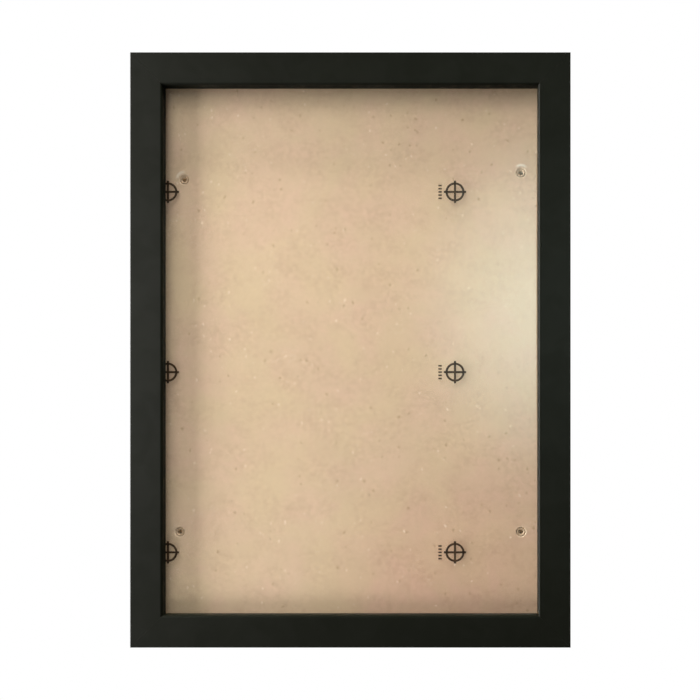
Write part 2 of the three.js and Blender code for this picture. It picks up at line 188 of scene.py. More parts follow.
soft_panel("side_light", (-0.70, -0.24, -0.60), (-0.70, -0.06, 0.80), 16.2)
soft_panel("grazing_light", (-0.60, -0.12, 0.90), (0.80, -0.02, 0.90), 67.0, mirrored=False)
soft_panel("overhead_light", (-0.70, -0.60, 0.90), (0.20, -0.12, 0.90), 5.8, mirrored=False)
soft_panel("ceiling_light", (-0.55, -0.60, 0.40), (-0.05, -0.60, 1.00), 2.7, mirrored=False)
soft_panel("floor_bounce", (-0.70, -0.50, -0.60), (0.00, -0.06, -0.60), 4.0, mirrored=False)

# %% [markdown]
# ## The world
#
# The world does three jobs, told apart by the kind of ray that asks. The camera sees plain white. A ray
# that looks for light finds a dim room in front of the frame and a bright one behind, so the back isn't
# dark. A mirrored ray finds the white background behind, and in front a dim room with a soft bright
# window to the right and a pale wall far to the left, which put the sheen on the sheet and the lacquer.

# %% The world
WINDOW_AT, WINDOW_REACH = (0.170, 0.175), (0.26, 0.28)  # directions: X and Z, half width and half height
PALE_WALL_AT, PALE_WALL_REACH = (-0.75, 0.15), (0.375, 0.38)
WINDOW_STRENGTH, PALE_WALL_STRENGTH, ROOM_STRENGTH = 2.25, 5.0, 0.10
WHITE, WARM_ROOM, COOL_SKY = (1, 1, 1, 1), (1, 0.99, 0.80, 1), (0.82, 1, 0.89, 1)


def oval(tree, direction, centre, reach):
    """1 towards a direction, given by its X and Z, falling smoothly to 0 at an oval's edge."""
    half_wide, half_tall = reach
    off = new_node(
        tree, "ShaderNodeVectorMath",
        {0: direction, 1: (centre[0], 0, centre[1])}, operation="SUBTRACT",
    )
    off = new_node(
        tree, "ShaderNodeVectorMath",
        {0: off.outputs[0], 1: (1 / half_wide, 0, 1 / half_tall)}, operation="MULTIPLY",
    )
    off = new_node(tree, "ShaderNodeVectorMath", {0: off.outputs[0]}, operation="LENGTH")
    return spread(tree, off.outputs["Value"], 1.0, 0.0)


world = bpy.data.worlds.new("studio")
bpy.context.scene.world = world
world.use_nodes = True
sky = world.node_tree
sky.nodes.clear()
direction = new_node(sky, "ShaderNodeTexCoord").outputs["Generated"]
towards = new_node(sky, "ShaderNodeSeparateXYZ", {0: direction}).outputs
window = oval(sky, direction, WINDOW_AT, WINDOW_REACH)
pale_wall = oval(sky, direction, PALE_WALL_AT, PALE_WALL_REACH)
behind = spread(sky, towards["Y"], -0.25, 0.15)
mirrored = maths(sky, "MULTIPLY_ADD", window, WINDOW_STRENGTH, ROOM_STRENGTH)
mirrored = maths(sky, "MULTIPLY_ADD", pale_wall, PALE_WALL_STRENGTH, mirrored)
mirrored = maths(sky, "MAXIMUM", mirrored, behind)
room = spread(sky, towards["Y"], -0.10, 0.35, 0.05, 0.95)
in_window = maths(sky, "MULTIPLY", window, 4.0)
daylight = layered(sky, in_window, WARM_ROOM, COOL_SKY)
daylight = layered(sky, maths(sky, "MAXIMUM", behind, pale_wall), daylight, WHITE)
light = new_node(sky, "ShaderNodeBackground", {"Color": WHITE, "Strength": room})
mirror = new_node(sky, "ShaderNodeBackground", {"Color": daylight, "Strength": mirrored})
white = new_node(sky, "ShaderNodeBackground", {"Color": WHITE, "Strength": 1.0})
ray = new_node(sky, "ShaderNodeLightPath").outputs
looks = maths(sky, "MAXIMUM", ray["Is Glossy Ray"], ray["Is Transmission Ray"])
unseen = new_node(sky, "ShaderNodeMixShader", {0: looks, 1: light.outputs[0], 2: mirror.outputs[0]})
shown = new_node(
    sky, "ShaderNodeMixShader",
    {0: ray["Is Camera Ray"], 1: unseen.outputs[0], 2: white.outputs[0]},
)
new_node(sky, "ShaderNodeOutputWorld", {"Surface": shown.outputs[0]})
print("world nodes:", len(sky.nodes))

# %% [markdown]
# ## The floor
#
# The photograph shows nothing but white round the frame. A pale floor well below it keeps its shadow in
# the other views. As a shadow catcher the floor is as white as the background and only its shadow
# shows, so there is no horizon.

# %% The floor
FLOOR_SIZE = 1.8
FLOOR_DROP = 600 * MM

floor_z = cad_low.z - FLOOR_DROP
floor_half = FLOOR_SIZE / 2
floor_corners = ((-floor_half, -floor_half), (floor_half, -floor_half),
                 (floor_half, floor_half), (-floor_half, floor_half))
floor_mesh = bpy.data.meshes.new("floor")
floor_mesh.from_pydata([(x, y, floor_z) for x, y in floor_corners], [], [(0, 1, 2, 3)])
floor = bpy.data.objects.new("floor", floor_mesh)
bpy.context.scene.collection.objects.link(floor)
floor.is_shadow_catcher = True
floor.visible_glossy = False
floor.visible_diffuse = False
floor.visible_transmission = False
pale_paint = bpy.data.materials.new("pale_floor")
pale_paint.use_nodes = True
paint = pale_paint.node_tree.nodes["Principled BSDF"]
paint.inputs["Roughness"].default_value = 0.8
paint.inputs["Base Color"].default_value = colour(232, 230, 226)
floor_mesh.materials.append(pale_paint)
print("floor at z, mm:", round(floor_z / MM, 2))

# %% [markdown]
# ## Effects that several finishes share
#
# Wood, metal, board and plastic all need the same few effects: slow patches, specks, scratches and worn
# edges. Each is a shader node group with named inputs, built once. All sizes are in metres, because the
# groups read the object's own coordinates, so a speck keeps its size on any piece.

# %% Helpers for groups and materials
def new_group(name, inputs, outputs):
    """An empty shader group. inputs gives each socket's kind and starting value, outputs its kind."""
    tree = bpy.data.node_groups.new(name, "ShaderNodeTree")
    for label, (kind, value) in inputs.items():
        socket = tree.interface.new_socket(label, in_out="INPUT", socket_type="NodeSocket" + kind)
        socket.default_value = value
    for label, kind in outputs.items():
        tree.interface.new_socket(label, in_out="OUTPUT", socket_type="NodeSocket" + kind)
    return tree, new_node(tree, "NodeGroupInput").outputs, new_node(tree, "NodeGroupOutput").inputs


def from_group(tree, group, **inputs):
    """The outputs of a group placed in a tree. Its inputs are filled by name, with _ for a space."""
    named = {label.replace("_", " "): value for label, value in inputs.items()}
    return new_node(tree, "ShaderNodeGroup", named, node_tree=group).outputs


def new_finish(name, **sockets):
    """A material with one Principled BSDF and its plain values, and the object's own coordinates."""
    made = bpy.data.materials.new(name)
    made.use_nodes = True
    shader = made.node_tree.nodes["Principled BSDF"]
    for label, value in sockets.items():
        shader.inputs[label.replace("_", " ")].default_value = value
    place = new_node(made.node_tree, "ShaderNodeTexCoord").outputs["Object"]
    return made, made.node_tree, shader, place


def bumped(tree, shader, height, depth):
    """Raises the surface by depth where height is 1."""
    bump = new_node(tree, "ShaderNodeBump", {"Height": height, "Distance": depth, "Strength": 1.0})
    tree.links.new(bump.outputs["Normal"], shader.inputs["Normal"])


def dress(finish, *names):
    """Gives a finish to CAD nodes."""
    for name in names:
        for slot in nodes[name].material_slots:
            slot.material = finish


print("Principled inputs:", len(paint.inputs))

# %% [markdown]
# ### Patches
#
# Nothing is evenly coloured or evenly glossy. A noise texture, stretched to a low and a high value, gives
# slow patches. The size is turned into the noise's scale, which counts patches in a metre.

# %% The group of patches
PLACE = ("Vector", (0, 0, 0))
patches, given, result = new_group(
    "patches",
    {"Vector": PLACE, "Size": ("Float", 0.02), "Low": ("Float", 0.0), "High": ("Float", 1.0)},
    {"Value": "Float"},
)
scale = maths(patches, "DIVIDE", 1.0, given["Size"])
noise = new_node(
    patches, "ShaderNodeTexNoise",
    {"Vector": given["Vector"], "Scale": scale, "Detail": 3.0, "Distortion": 0.6},
)
value = spread(patches, noise.outputs["Fac"], 0.32, 0.68, given["Low"], given["High"])
patches.links.new(value, result["Value"])


def patchy(tree, place, size, low=0.0, high=1.0):
    """Slow patches of the given size, whose value runs from low to high."""
    return from_group(tree, patches, Vector=place, Size=size, Low=low, High=high)["Value"]


print(patches.name, "nodes:", len(patches.nodes))

# %% [markdown]
# ### Specks
#
# Dust, flecks in the board and pin-holes are small, scattered and not quite round. A Voronoi texture
# drops one point in each cell. The cell's own random number decides whether its speck is there, so that
# Share sets how many show, and a little noise added to the place makes them uneven.

# %% The group of specks
specks, given, result = new_group(
    "specks",
    {"Vector": PLACE, "Spacing": ("Float", 0.004), "Size": ("Float", 0.001), "Share": ("Float", 0.3)},
    {"Mask": "Float"},
)
scale = maths(specks, "DIVIDE", 1.0, given["Spacing"])
ragged = new_node(
    specks, "ShaderNodeTexNoise",
    {"Vector": given["Vector"], "Scale": maths(specks, "DIVIDE", 1.2, given["Size"]), "Detail": 1.0},
)
push = new_node(
    specks, "ShaderNodeVectorMath",
    {0: ragged.outputs["Color"], 1: (-0.5, -0.5, -0.5)}, operation="ADD",
)
push = new_node(
    specks, "ShaderNodeVectorMath",
    {0: push.outputs[0], "Scale": given["Size"]}, operation="SCALE",
)
shaken = new_node(specks, "ShaderNodeVectorMath", {0: given["Vector"], 1: push.outputs[0]}, operation="ADD")
cells = new_node(specks, "ShaderNodeTexVoronoi", {"Vector": shaken.outputs[0], "Scale": scale})
chance = new_node(specks, "ShaderNodeSeparateColor", {0: cells.outputs["Color"]}).outputs
there = maths(specks, "LESS_THAN", chance["Red"], given["Share"])
reach = maths(specks, "MULTIPLY", maths(specks, "MULTIPLY", given["Size"], scale), 0.5)
reach = maths(specks, "MULTIPLY", reach, maths(specks, "MULTIPLY_ADD", chance["Green"], 0.8, 0.4))
near = maths(specks, "DIVIDE", cells.outputs["Distance"], reach)
specks.links.new(maths(specks, "MULTIPLY", there, spread(specks, near, 1.0, 0.4)), result["Mask"])
print(specks.name, "nodes:", len(specks.nodes))

# %% [markdown]
# ### Scratches
#
# Fine scratches run in long, slightly curved lines that start and stop. The level line of a noise that
# is stretched one way is just such a line, and a second noise breaks it up.

# %% The group of scratches
scratches, given, result = new_group(
    "scratches",
    {"Vector": PLACE, "Length": ("Float", 0.05), "Spacing": ("Float", 0.006), "Turn": ("Float", 0.3),
     "Share": ("Float", 0.4)},
    {"Mask": "Float"},
)
turned = new_node(
    scratches, "ShaderNodeVectorRotate",
    {"Vector": given["Vector"], "Angle": given["Turn"]}, rotation_type="Y_AXIS",
)
longer = maths(scratches, "DIVIDE", 1.0, given["Length"])
closer = maths(scratches, "DIVIDE", 1.0, given["Spacing"])
stretch = new_node(scratches, "ShaderNodeCombineXYZ", {0: longer, 1: closer, 2: closer})
drawn = new_node(
    scratches, "ShaderNodeVectorMath",
    {0: turned.outputs[0], 1: stretch.outputs[0]}, operation="MULTIPLY",
)
lines = new_node(scratches, "ShaderNodeTexNoise", {"Vector": drawn.outputs[0], "Scale": 1.0, "Detail": 2.0})
breaks = new_node(scratches, "ShaderNodeTexNoise", {"Vector": given["Vector"], "Scale": longer})
level = maths(scratches, "ABSOLUTE", maths(scratches, "SUBTRACT", lines.outputs["Fac"], 0.5))
line = spread(scratches, level, 0.010, 0.002)
kept = maths(scratches, "SUBTRACT", 1.0, given["Share"])
part = maths(scratches, "SUBTRACT", breaks.outputs["Fac"], maths(scratches, "MULTIPLY_ADD", kept, 0.4, 0.3))
scratches.links.new(maths(scratches, "MULTIPLY", line, spread(scratches, part, 0.0, 0.06)), result["Mask"])
print(scratches.name, "nodes:", len(scratches.nodes))

# %% [markdown]
# ### Worn edges
#
# Handling polishes metal and thins paint along the edges first. The Bevel node gives the normal that a
# rounded edge would have. Where it leans away from the true one there is an edge nearby, and patches
# keep the wear uneven.

# %% The group of worn edges
worn_edges, given, result = new_group(
    "worn edges",
    {"Vector": PLACE, "Radius": ("Float", 0.0005), "Patch Size": ("Float", 0.006)},
    {"Mask": "Float"},
)
rounded = new_node(worn_edges, "ShaderNodeBevel", {"Radius": given["Radius"]}, samples=4)
true_normal = new_node(worn_edges, "ShaderNodeNewGeometry").outputs["Normal"]
agree = new_node(
    worn_edges, "ShaderNodeVectorMath",
    {0: rounded.outputs[0], 1: true_normal}, operation="DOT_PRODUCT",
)
edge = spread(worn_edges, agree.outputs["Value"], 0.99, 0.80)
uneven = from_group(worn_edges, patches, Vector=given["Vector"], Size=given["Patch Size"])["Value"]
worn_edges.links.new(maths(worn_edges, "MULTIPLY", edge, uneven), result["Mask"])
print(worn_edges.name, "nodes:", len(worn_edges.nodes))

# %% [markdown]
# ### Wood grain
#
# A sawn strip shows long fibres and slower bands from the growth rings. Both come from noise that is
# stretched along X, so a material first turns its coordinates until X lies along the strip.

# %% The group of wood grain
wood_grain, given, result = new_group(
    "wood grain",
    {"Vector": PLACE, "Fibre Width": ("Float", 0.0004), "Band Width": ("Float", 0.004)},
    {"Fibres": "Float", "Bands": "Float"},
)
for label, width, detail in (("Fibres", "Fibre Width", 2.0), ("Bands", "Band Width", 3.0)):
    across = maths(wood_grain, "DIVIDE", 1.0, given[width])
    along = maths(wood_grain, "MULTIPLY", across, 0.035)
    stretch = new_node(wood_grain, "ShaderNodeCombineXYZ", {0: along, 1: across, 2: across})
    drawn = new_node(
        wood_grain, "ShaderNodeVectorMath",
        {0: given["Vector"], 1: stretch.outputs[0]}, operation="MULTIPLY",
    )
    noise = new_node(
        wood_grain, "ShaderNodeTexNoise",
        {"Vector": drawn.outputs[0], "Scale": 1.0, "Detail": detail, "Distortion": 0.3},
    )
    wood_grain.links.new(spread(wood_grain, noise.outputs["Fac"], 0.35, 0.65), result[label])
print(wood_grain.name, "nodes:", len(wood_grain.nodes))

# %% [markdown]
# ## The moulding
#
# The moulding is sprayed black on its face and its outer sides, and the spray wraps a little way round
# the back edge. Its back, its rebate and the saw kerf are bare pale wood. One material does both, and
# reads how deep a point lies and how far it is from the outside, so that the border of the paint is
# ragged and follows every edge. The lacquer's gloss is a coat, so that it can be left off the bare wood
# and the lip's dull inner wall. The four pieces differ only in how the grain is turned and where it
# starts.

# %% The moulding's finish
PAINT_WRAP = 1.6 * MM           # how far the spray comes round the back edge
BARE_DEPTH = -0.35 * MM         # behind this depth the back is bare
REBATE_START = 7 * MM           # what lies further in than this is lip or rebate
LIP_BACK = -12.9 * MM           # in front of this depth the lip is painted
SIGHT_EDGE = 16.3 * MM          # how far in the lip's rounded edge starts


def lacquered_wood(name, turn, start):
    """Black lacquer over bare wood. turn lays the grain along X, and start moves it to another part."""
    made, tree, shader, place = new_finish(
        name, Specular_IOR_Level=0.0, Coat_Roughness=0.40, Coat_IOR=1.39,
    )
    at = new_node(tree, "ShaderNodeSeparateXYZ", {0: place}).outputs
    grain_place = new_node(
        tree, "ShaderNodeMapping",
        {"Vector": place, "Rotation": turn, "Location": start},
    )
    grain = from_group(tree, wood_grain, Vector=grain_place.outputs[0])
    from_side = maths(tree, "SUBTRACT", half_width, maths(tree, "ABSOLUTE", at["X"]))
    height = maths(tree, "ABSOLUTE", maths(tree, "SUBTRACT", at["Z"], middle.z))
    inwards = maths(tree, "MINIMUM", from_side, maths(tree, "SUBTRACT", half_height, height))
    ragged = patchy(tree, place, 0.0015, -0.7 * MM, 0.9 * MM)
    wrap_end = maths(tree, "SUBTRACT", inwards, ragged)
    past_wrap = spread(tree, wrap_end, PAINT_WRAP, PAINT_WRAP + 1.2 * MM)
    uneven_depth = maths(tree, "MULTIPLY_ADD", ragged, 0.2, at["Y"])
    behind = spread(tree, uneven_depth, BARE_DEPTH, BARE_DEPTH + 0.2 * MM)
    past_lip = spread(tree, at["Y"], LIP_BACK - 0.1 * MM, LIP_BACK + 0.4 * MM)
    in_rebate = spread(tree, inwards, REBATE_START, REBATE_START + 0.5 * MM)
    in_rebate = maths(tree, "MULTIPLY", in_rebate, past_lip)
    bare = maths(tree, "MAXIMUM", maths(tree, "MULTIPLY", past_wrap, behind), in_rebate)
    mist = from_group(tree, specks, Vector=place, Spacing=0.0011, Size=0.0006, Share=0.30)["Mask"]
    mist = maths(tree, "MULTIPLY", mist, spread(tree, inwards, 9 * MM, 2 * MM))
    bare = maths(tree, "MULTIPLY", bare, maths(tree, "MULTIPLY_ADD", mist, -0.75, 1.0))

    tone = patchy(tree, place, 0.03)
    wood = layered(tree, grain["Bands"], colour(206, 178, 136), colour(226, 203, 165))
    wood = layered(tree, maths(tree, "MULTIPLY", grain["Fibres"], 0.35), wood, colour(170, 134, 92))
    black = layered(tree, tone, colour(13, 14, 8), colour(16, 17, 11))
    dust_and_painted_light = from_group(tree, specks, Vector=place, Spacing=0.009, Size=0.00035, Share=0.25)["Mask"]
    black = layered(tree, maths(tree, "MULTIPLY", dust_and_painted_light, 0.35), black, colour(120, 116, 108))
    worn = from_group(tree, worn_edges, Vector=place, Radius=0.0006, Patch_Size=0.008)["Mask"]
    black = layered(tree, maths(tree, "MULTIPLY", worn, 0.25), black, colour(56, 52, 46))
    tree.links.new(layered(tree, bare, black, wood), shader.inputs["Base Color"])

    dull = patchy(tree, place, 0.012, 0.45, 0.60)
    rough = maths(tree, "MULTIPLY_ADD", grain["Fibres"], 0.05, dull)
    tree.links.new(maths(tree, "MULTIPLY_ADD", bare, 0.25, rough), shader.inputs["Roughness"])
    smeared = patchy(tree, place, 0.015, 1.0, 0.86)
    inner_wall = spread(tree, inwards, SIGHT_EDGE, SIGHT_EDGE + 0.9 * MM, 0.0, 0.42)
    plain = maths(tree, "MAXIMUM", bare, maths(tree, "MAXIMUM", inner_wall, dust_and_painted_light))
    coated = maths(tree, "SUBTRACT", 1.0, plain)
    tree.links.new(maths(tree, "MULTIPLY", coated, smeared), shader.inputs["Coat Weight"])
    raised = maths(tree, "MULTIPLY_ADD", bare, 0.85, 0.15)
    bumped(tree, shader, maths(tree, "MULTIPLY", grain["Fibres"], raised), 0.06 * MM)
    return made


ALONG_X, ALONG_Z = (0, 0, 0), (0, math.radians(90), 0)
for name, turn, start in (
    ("top_rail", ALONG_X, (0.0, 0.0, 0.0)),
    ("bottom_rail", ALONG_X, (0.4, 0.1, 0.0)),
    ("left_stile", ALONG_Z, (0.9, 0.2, 0.1)),
    ("right_stile", ALONG_Z, (1.7, 0.3, 0.2)),
):
    dress(lacquered_wood("lacquer_" + name, turn, start), name)
    print("lacquered", name)

# %% [markdown]
# ## The hardboard back
#
# The board's smooth side faces the viewer. It is pale brown, with fibres and flecks of a millimetre or
# two, a few dark specks of bark, and slow cloudy patches. The rough side, towards the wall, is darker
# and carries the imprint of the wire screen it was pressed on. Depth tells the sides apart.
#
# Where a rivet's tube was rolled over, the fibres beside its dimple stand up in a low curved burr, whose
# lit side is also painted lighter as a painted highlight. The dimple is painted paler, as painted light
# against the shade in the gap round the rivet. A group places both at a rivet.

# %% The group of a pressed ring
DIMPLE_RADIUS = 2.9 * MM

pressed_ring, given, result = new_group(
    "pressed ring",
    {"Vector": PLACE, "Centre": PLACE, "Lean": ("Vector", (0, 0, 1)), "Radius": ("Float", 0.0042),
     "Width": ("Float", 0.0012)},
    {"Height": "Float", "Dimple": "Float"},
)
flat = new_node(
    pressed_ring, "ShaderNodeVectorMath",
    {0: given["Vector"], 1: given["Centre"]}, operation="SUBTRACT",
)
flat = new_node(
    pressed_ring, "ShaderNodeVectorMath",
    {0: flat.outputs[0], 1: (1, 0, 1)}, operation="MULTIPLY",
)
away = new_node(pressed_ring, "ShaderNodeVectorMath", {0: flat.outputs[0]}, operation="LENGTH")
away = away.outputs["Value"]
off = maths(pressed_ring, "ABSOLUTE", maths(pressed_ring, "SUBTRACT", away, given["Radius"]))
share = maths(pressed_ring, "DIVIDE", off, given["Width"])
along = new_node(
    pressed_ring, "ShaderNodeVectorMath",
    {0: flat.outputs[0], 1: given["Lean"]}, operation="DOT_PRODUCT",
)
facing = spread(pressed_ring, maths(pressed_ring, "DIVIDE", along.outputs["Value"], away), 0.60, 1.0)
height = maths(pressed_ring, "MULTIPLY", spread(pressed_ring, share, 1.0, 0.0), facing)
dimple_painted_light = spread(pressed_ring, away, DIMPLE_RADIUS + 0.05 * MM, DIMPLE_RADIUS - 0.05 * MM)
pressed_ring.links.new(height, result["Height"])
pressed_ring.links.new(dimple_painted_light, result["Dimple"])
print(pressed_ring.name, "nodes:", len(pressed_ring.nodes))

# %% The hardboard's smooth side
SMOOTH_SIDE = (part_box("backing_board")[0].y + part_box("backing_board")[1].y) / 2
SCREEN_PITCH = 1.4 * MM
SHADE_CENTRE = (60 * MM, 0, middle.z - 140 * MM)    # a slow, rosy painted shade, low on the right
SHADE_EDGE, SHADE_HEART = 100 * MM, 20 * MM         # how far from its centre it starts and is full
RELIEF = 0.12 * MM

hardboard, tree, shader, place = new_finish("hardboard", IOR=1.45)
at = new_node(tree, "ShaderNodeSeparateXYZ", {0: place}).outputs
back = spread(tree, at["Y"], SMOOTH_SIDE, SMOOTH_SIDE + 0.8 * MM)
cloud = patchy(tree, place, 0.035)
board = layered(tree, cloud, colour(227, 194, 166), colour(224, 198, 162))
tinge = patchy(tree, place, 0.010)
board = layered(tree, maths(tree, "MULTIPLY", tinge, 0.5), board, colour(220, 194, 160))
fibres = patchy(tree, place, 0.0027)
clusters = patchy(tree, place, 0.013, 0.08, 0.60)
board = layered(tree, maths(tree, "MULTIPLY", fibres, clusters), board, colour(205, 173, 144))
# Painted shade: the board is darkened, with a rosy tint, towards the lower right.
to_shade = new_node(tree, "ShaderNodeVectorMath", {0: place, 1: SHADE_CENTRE}, operation="DISTANCE")
stain_and_shade = spread(tree, to_shade.outputs["Value"], SHADE_EDGE, SHADE_HEART)
board = layered(tree, stain_and_shade, board, colour(250, 239, 240), "MULTIPLY")
flecks = (                       # spacing, size, share of places, strength, rise and colour of each kind
    ("light_flecks", 0.0046, 0.0018, 0.45, 0.60, 0.5, colour(252, 231, 204)),
    ("dark_flecks", 0.0050, 0.0018, 0.45, 0.55, -0.4, colour(176, 142, 106)),
    ("bark_specks", 0.0125, 0.0015, 0.80, 0.80, -0.6, colour(96, 70, 46)),
)
relief = maths(tree, "MULTIPLY", cloud, 0.3)
for number, (label, spacing, size, share, strength, rise, tint) in enumerate(flecks):
    shift = (0.1 * number, 0, 0.07 * number)
    moved = new_node(
        tree, "ShaderNodeMapping",
        {"Vector": place, "Location": shift, "Scale": (1.0, 1.0, 0.8)}, label=label,
    )
    fleck = from_group(
        tree, specks,
        Vector=moved.outputs[0], Spacing=spacing, Size=size, Share=share,
    )["Mask"]
    board = layered(tree, maths(tree, "MULTIPLY", fleck, strength), board, tint)
    relief = maths(tree, "MULTIPLY_ADD", fleck, rise, relief)
print("kinds of flecks:", len(flecks))

# %% The burrs and dimples round the rivets, with painted highlights and painted light
BURRS_AND_HIGHLIGHTS = {                        # which way each burr and its painted highlight lean from the rivet, and how high and bright each is
    "top_left": ((-0.6, 0, 0.8), 0.7),
    "top_right": ((0.05, 0, 1.0), 1.0),
    "bottom_left": ((-0.7, 0, 0.7), 0.1),
    "bottom_right": ((0.7, 0, 0.7), 0.1),
}
burr_and_highlight, dimple_painted_light = 0.0, 0.0
for corner, (lean, height) in BURRS_AND_HIGHLIGHTS.items():
    low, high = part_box("rivet_" + corner)
    ring = from_group(tree, pressed_ring, Vector=place, Centre=(low + high) / 2, Lean=lean)
    burr_and_highlight = maths(tree, "MAXIMUM", burr_and_highlight, maths(tree, "MULTIPLY", ring["Height"], height))
    dimple_painted_light = maths(tree, "MAXIMUM", dimple_painted_light, ring["Dimple"])
# Painted light: the dimples are painted paler against the shade in the gap, and the burrs' lit sides are
# painted lighter as a highlight.
board = layered(tree, dimple_painted_light, board, colour(244, 220, 190))
board = layered(tree, maths(tree, "MULTIPLY", burr_and_highlight, 0.9), board, colour(255, 244, 224))
print("burrs:", ", ".join(BURRS_AND_HIGHLIGHTS))

# %% The hardboard's rough side, gloss and relief
across = maths(tree, "SINE", maths(tree, "MULTIPLY", at["X"], 2 * math.pi / SCREEN_PITCH))
upwards = maths(tree, "SINE", maths(tree, "MULTIPLY", at["Z"], 2 * math.pi / SCREEN_PITCH))
screen = maths(tree, "MULTIPLY_ADD", maths(tree, "MULTIPLY", across, upwards), 0.5, 0.5)
rough_side = layered(tree, cloud, colour(132, 96, 63), colour(142, 104, 69))
mottle = patchy(tree, place, 0.0045)
rough_side = layered(tree, maths(tree, "MULTIPLY", mottle, 0.4), rough_side, colour(104, 74, 48))
rough_side = layered(tree, maths(tree, "MULTIPLY", screen, 0.30), rough_side, colour(86, 60, 38))
tree.links.new(layered(tree, back, board, rough_side), shader.inputs["Base Color"])
gloss = patchy(tree, place, 0.006, 0.50, 0.62)
tree.links.new(maths(tree, "MULTIPLY_ADD", back, 0.3, gloss), shader.inputs["Roughness"])
relief = maths(tree, "ADD", relief, burr_and_highlight)
relief = maths(tree, "MULTIPLY", maths(tree, "SUBTRACT", 1.0, back), relief)
relief = maths(tree, "SUBTRACT", relief, maths(tree, "MULTIPLY", back, screen))
bumped(tree, shader, relief, RELIEF)
dress(hardboard, "backing_board")
print("hardboard nodes:", len(tree.nodes))

# %% [markdown]
# ## The clear sheet and its film
#
# The glazing is clear acrylic, under a film that is a tenth of a millimetre thick. Real transmission
# bends and mirrors light as plastic does, but lamps would then reach the board only by caustics, which
# are noisy. So rays that carry light to or from the board pass through as if the plastic weren't there,
# and only the rays that look at it meet the plastic. Faint scratches and smudges change how sharply
# each sheet mirrors.

# %% The clear finishes
def clear_plastic(name, tint, low, high, scratch):
    """Clear plastic whose smudges run from low to high roughness. Scratches add up to scratch to it."""
    made, tree, shader, place = new_finish(name, IOR=1.49, Transmission_Weight=1.0)
    smudge = patchy(tree, place, 0.03, low, high)
    fine = from_group(
        tree, scratches,
        Vector=place, Length=0.03, Spacing=0.012, Turn=0.5, Share=0.35,
    )["Mask"]
    tree.links.new(maths(tree, "MULTIPLY_ADD", fine, scratch, smudge), shader.inputs["Roughness"])
    haze = patchy(tree, place, 0.05)
    faded = tuple(0.985 * part for part in tint[:3])
    tree.links.new(layered(tree, haze, tint, (*faded, 1)), shader.inputs["Base Color"])
    ray = new_node(tree, "ShaderNodeLightPath").outputs
    carries = maths(tree, "MAXIMUM", ray["Is Shadow Ray"], ray["Is Diffuse Ray"])
    through = new_node(tree, "ShaderNodeBsdfTransparent", {"Color": WHITE})
    both = new_node(tree, "ShaderNodeMixShader", {0: carries, 1: shader.outputs[0], 2: through.outputs[0]})
    tree.links.new(both.outputs[0], tree.nodes["Material Output"].inputs["Surface"])
    return made


acrylic = clear_plastic("clear_acrylic", (0.985, 0.992, 0.985, 1), low=0.0, high=0.02, scratch=0.05)
film = clear_plastic("clear_film", (0.99, 0.985, 0.965, 1), low=0.02, high=0.07, scratch=0.08)
dress(acrylic, "glazing_sheet")
dress(film, "protective_film")
print("clear sheets: glazing_sheet, protective_film")

# %% [markdown]
# ## The metal parts
#
# The turn buttons and rivets are zinc-plated steel, the V nails and the hanger's nails are blued, and the
# hangers are brass-plated. They differ in colour and in how rough and stained they are, so one function
# makes all four. Zinc dulls in grey patches, and the tops of the edges are rubbed bright. The rolled
# ends of the rivets, in front, are covered with dust from the board they were pressed into, and their
# bores are painted paler, as painted light against the shade inside.

# %% The metal finishes
BORE_DEPTH = -10.85 * MM        # behind this depth lies a rivet's bore, which is painted paler as painted light


def plated_steel(name, clean, dull, bright, low, high, stain_size, wear, dust_depth=None):
    """Metal between a clean and a dull colour, with bright rubbed edges, pits and fine scratches.

    Its roughness runs from low to high. Where dust_depth is given, dust from the board covers what
    lies in front of that depth, and the bore behind BORE_DEPTH is painted paler as painted light.
    """
    made, tree, shader, place = new_finish(name, Metallic=1.0)
    stain_and_shade = patchy(tree, place, stain_size)
    pits = from_group(tree, specks, Vector=place, Spacing=0.0016, Size=0.0005, Share=0.35)["Mask"]
    tone = layered(tree, stain_and_shade, clean, dull)
    pit_colour = (*(0.45 * part for part in dull[:3]), 1)
    tone = layered(tree, maths(tree, "MULTIPLY", pits, 0.45), tone, pit_colour)
    rubbed = from_group(tree, worn_edges, Vector=place, Radius=0.00025, Patch_Size=0.003)["Mask"]
    rubbed = maths(tree, "MULTIPLY", rubbed, wear)
    tone = layered(tree, rubbed, tone, bright)
    metal = maths(tree, "MULTIPLY_ADD", stain_and_shade, -0.04, 0.94)
    gloss = patchy(tree, place, stain_size / 2, low, high)
    if dust_depth is not None:
        depth = new_node(tree, "ShaderNodeSeparateXYZ", {0: place}).outputs["Y"]
        dusty = spread(tree, depth, dust_depth, dust_depth - 0.3 * MM)
        bore_painted_light = spread(tree, depth, BORE_DEPTH - 0.1 * MM, BORE_DEPTH + 0.1 * MM)
        dust_and_painted_light = layered(tree, stain_and_shade, colour(202, 174, 144), colour(176, 150, 120))
        # Painted light: the bore is painted paler against the shade inside it.
        dust_and_painted_light = layered(tree, bore_painted_light, dust_and_painted_light, colour(232, 210, 180))
        tone = layered(tree, dusty, tone, dust_and_painted_light)
        metal = maths(tree, "MULTIPLY", metal, maths(tree, "MULTIPLY_ADD", dusty, -0.97, 1.0))
        gloss = maths(tree, "MULTIPLY_ADD", dusty, 0.3, gloss)
    tree.links.new(tone, shader.inputs["Base Color"])
    tree.links.new(metal, shader.inputs["Metallic"])
    fine = from_group(
        tree, scratches,
        Vector=place, Length=0.008, Spacing=0.0012, Turn=0.9, Share=0.6,
    )["Mask"]
    tree.links.new(maths(tree, "MULTIPLY_ADD", fine, 0.12, gloss), shader.inputs["Roughness"])
    height = maths(tree, "MULTIPLY_ADD", fine, -0.5, maths(tree, "MULTIPLY", pits, -1.0))
    bumped(tree, shader, height, 0.02 * MM)
    return made


